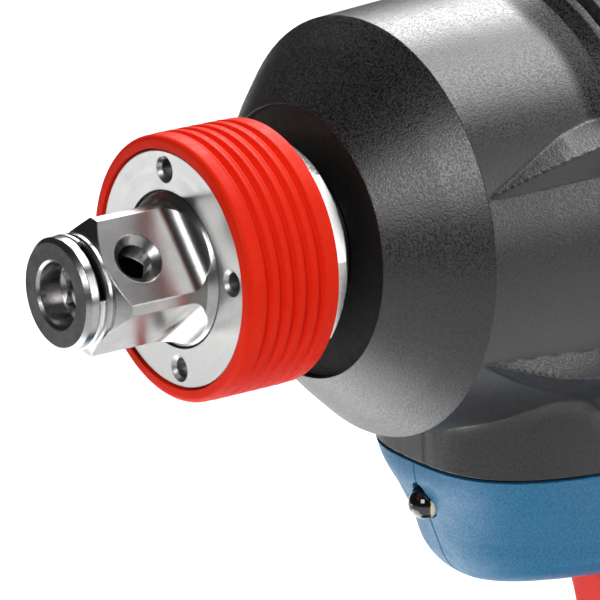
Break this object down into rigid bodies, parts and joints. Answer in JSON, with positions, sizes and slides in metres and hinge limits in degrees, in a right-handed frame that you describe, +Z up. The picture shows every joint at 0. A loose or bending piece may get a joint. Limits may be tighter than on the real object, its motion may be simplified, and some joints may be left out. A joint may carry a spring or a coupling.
{
  "type": "impact wrench",
  "caption": "Cordless pistol-grip impact wrench with a half-inch square drive, hexagon bit socket, sprung locking collar, planetary gear, hammer mechanism and slide-off battery.",
  "frame": {"origin": "middle of the battery's underside, which the tool stands on", "axes": "+Z up, nose towards -Y, +X to the tool's left; the drive axis runs along Y, 210 mm up"},
  "size_m": [0.0848, 0.1487, 0.2395],
  "materials": {
    "drive_steel": "satin ground steel",
    "seal_rubber": "matte",
    "spring_steel": "satin",
    "collar_red": "satin red",
    "cover_black": "fine grained matte",
    "case_aluminium": "die cast",
    "bush_bronze": "satin",
    "gear_steel": "machined",
    "bearing_steel": "polished",
    "core_steel": "laminated",
    "copper_wire": "lacquered copper",
    "housing_blue": "fine grained teal blue",
    "plastic_black": "fine grained black",
    "board_green": "circuit board",
    "screw_steel": "zinc plated",
    "insert_brass": "satin",
    "lens_clear": "clear lens over a dark reflector",
    "button_red": "gloss red",
    "button_grey": "soft grey",
    "cell_wrap": "shrink sleeve"
  },
  "bodies": {
    "housing": {"hammer_case_cover": "cover_black", "nose_seal": "seal_rubber", "hammer_case": "case_aluminium", "anvil_bush": "bush_bronze", "gearbox_plate": "case_aluminium", "case_screws": "screw_steel", "carrier_bearing": "bearing_steel", "motor_front_bearing": "bearing_steel", "motor_rear_bearing": "bearing_steel", "ring_gear": "gear_steel", "stator_core": "core_steel", "stator_windings": "copper_wire", "motor_board": "board_green", "housing_left": "housing_blue", "housing_right": "housing_blue", "housing_screws": "screw_steel", "grip_left": "cover_black", "grip_right": "cover_black", "rear_cap": "plastic_black", "cap_screws": "screw_steel", "led_lens": "lens_clear", "led_board": "board_green", "trigger_switch": "plastic_black", "trigger_spring": "spring_steel", "control_panel": "plastic_black", "controller": "board_green", "belt_clip": "spring_steel", "belt_clip_screw": "screw_steel", "accessory_insert": "insert_brass"},
    "anvil": {"anvil": "drive_steel", "friction_ring": "drive_steel", "friction_o_ring": "seal_rubber", "collar_retaining_ring": "spring_steel", "collar_spring": "spring_steel"},
    "collar": {"collar_plate": "drive_steel", "collar_sleeve": "drive_steel", "collar_grip": "collar_red"},
    "lock_pin_left": {"bit_lock_pin_left": "spring_steel"},
    "lock_pin_right": {"bit_lock_pin_right": "spring_steel"},
    "carrier": {"cam_shaft": "gear_steel", "planet_pins": "gear_steel"},
    "planet_1": {"planet_gear_1": "gear_steel"},
    "planet_2": {"planet_gear_2": "gear_steel"},
    "planet_3": {"planet_gear_3": "gear_steel"},
    "rotor": {"rotor_shaft": "gear_steel", "rotor_core": "core_steel", "cooling_fan": "plastic_black"},
    "hammer_seat": {"thrust_washer": "spring_steel", "thrust_balls": "spring_steel"},
    "hammer": {"hammer": "gear_steel"},
    "spring_seat": {"hammer_spring": "spring_steel"},
    "cam_balls": {"cam_balls": "spring_steel"},
    "trigger": {"trigger": "button_red"},
    "direction_lever": {"direction_lever": "plastic_black"},
    "speed_button": {"speed_button": "button_grey"},
    "battery": {"battery_case_lower": "plastic_black", "battery_case_upper": "plastic_black", "battery_cells": "cell_wrap", "battery_contacts": "insert_brass"},
    "battery_latch": {"battery_latch": "button_red"}
  },
  "joints": [
    {"name": "anvil_spin", "type": "hinge", "parent": "housing", "child": "anvil", "pos_m": [0, 0, 0.21], "axis": [0, 1, 0], "continuous": true},
    {"name": "collar_slide", "type": "slide", "parent": "anvil", "child": "collar", "axis": [0, -1, 0], "range_m": [0, 0.003], "stiffness_N_per_m": 500, "springref_m": -0.01, "deforming": ["collar_spring"]},
    {"name": "lock_pin_left_lift", "type": "slide", "parent": "anvil", "child": "lock_pin_left", "axis": [1, 0, 0], "range_m": [0, 0.00072]},
    {"name": "lock_pin_right_lift", "type": "slide", "parent": "anvil", "child": "lock_pin_right", "axis": [-1, 0, 0], "range_m": [0, 0.00072]},
    {"name": "carrier_spin", "type": "hinge", "parent": "housing", "child": "carrier", "pos_m": [0, 0, 0.21], "axis": [0, 1, 0], "continuous": true},
    {"name": "planet_1_spin", "type": "hinge", "parent": "carrier", "child": "planet_1", "pos_m": [0, 0, 0.2205], "axis": [0, 1, 0], "continuous": true},
    {"name": "planet_2_spin", "type": "hinge", "parent": "carrier", "child": "planet_2", "pos_m": [0.00909, 0, 0.20475], "axis": [0, 1, 0], "continuous": true},
    {"name": "planet_3_spin", "type": "hinge", "parent": "carrier", "child": "planet_3", "pos_m": [-0.00909, 0, 0.20475], "axis": [0, 1, 0], "continuous": true},
    {"name": "rotor_spin", "type": "hinge", "parent": "housing", "child": "rotor", "pos_m": [0, 0, 0.21], "axis": [0, 1, 0], "continuous": true},
    {"name": "hammer_retract", "type": "slide", "parent": "carrier", "child": "hammer_seat", "axis": [0, 1, 0], "range_m": [0, 0.007], "stiffness_N_per_m": 6000, "springref_m": -0.01, "deforming": ["hammer_spring"]},
    {"name": "hammer_turn", "type": "hinge", "parent": "hammer_seat", "child": "hammer", "pos_m": [0, 0, 0.21], "axis": [0, 1, 0], "range_deg": [0, 86]},
    {"name": "spring_shift", "type": "slide", "parent": "carrier", "child": "spring_seat", "axis": [0, 1, 0], "range_m": [0, 0.0035]},
    {"name": "ball_roll", "type": "hinge", "parent": "spring_seat", "child": "cam_balls", "pos_m": [0, 0, 0.21], "axis": [0, 1, 0], "range_deg": [0, 43]},
    {"name": "trigger_pull", "type": "slide", "parent": "housing", "child": "trigger", "axis": [0, 1, 0], "range_m": [0, 0.007], "stiffness_N_per_m": 300, "springref_m": -0.01, "deforming": ["trigger_spring"]},
    {"name": "direction_shift", "type": "slide", "parent": "housing", "child": "direction_lever", "axis": [1, 0, 0], "range_m": [-0.003, 0.003]},
    {"name": "speed_press", "type": "slide", "parent": "housing", "child": "speed_button", "axis": [0, 0, -1], "range_m": [0, 0.0006], "stiffness_N_per_m": 60, "springref_m": -0.005},
    {"name": "battery_slide", "type": "slide", "parent": "housing", "child": "battery", "axis": [0, -1, 0], "range_m": [0, 0.09]},
    {"name": "latch_press", "type": "slide", "parent": "battery", "child": "battery_latch", "axis": [0, 0, -1], "range_m": [0, 0.003], "stiffness_N_per_m": 300, "springref_m": -0.01}
  ],
  "couplings": [
    {"joint": "lock_pin_left_lift", "follows": "collar_slide", "ratio": 0.2333},
    {"joint": "lock_pin_right_lift", "follows": "collar_slide", "ratio": 0.2333},
    {"joint": "carrier_spin", "follows": "anvil_spin", "ratio": 1},
    {"joint": "planet_1_spin", "follows": "anvil_spin", "ratio": -2.6667},
    {"joint": "planet_2_spin", "follows": "anvil_spin", "ratio": -2.6667},
    {"joint": "planet_3_spin", "follows": "anvil_spin", "ratio": -2.6667},
    {"joint": "rotor_spin", "follows": "anvil_spin", "ratio": 5},
    {"joint": "hammer_turn", "follows": "hammer_retract", "rad_per_m": 214.29},
    {"joint": "spring_shift", "follows": "hammer_retract", "ratio": 0.5},
    {"joint": "ball_roll", "follows": "hammer_retract", "rad_per_m": 107.14}
  ]
}
